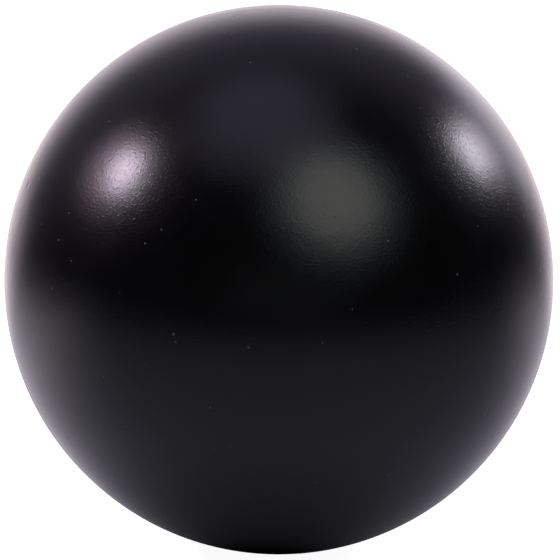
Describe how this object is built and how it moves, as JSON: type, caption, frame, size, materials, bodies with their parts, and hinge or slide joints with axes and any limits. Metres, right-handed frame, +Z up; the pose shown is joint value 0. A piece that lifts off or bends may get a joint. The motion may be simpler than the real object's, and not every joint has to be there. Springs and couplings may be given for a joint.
{
  "type": "case opening friction ball",
  "caption": "Soft black ball with a satin, finely grained skin over a foam core, pressed on a watch's screwed case back and turned by hand to open or close it.",
  "frame": {"origin": "centre of the ball, which is the centre of its bounding box to within 0.13 mm, because the plug's face at the bottom is trimmed flat", "axes": "+Z up, away from the plug's trimmed face that the ball rests on; +Y is square to the plane where the two halves of the skin meet, from the front half to the rear half"},
  "size_m": [0.065, 0.065, 0.0648],
  "materials": {
    "skin": "satin",
    "foam": "matte",
    "plug": "matte"
  },
  "bodies": {
    "root": {"front_skin": "skin", "rear_skin": "skin", "foam_core": "foam", "gate_plug": "plug"}
  },
  "joints": []
}
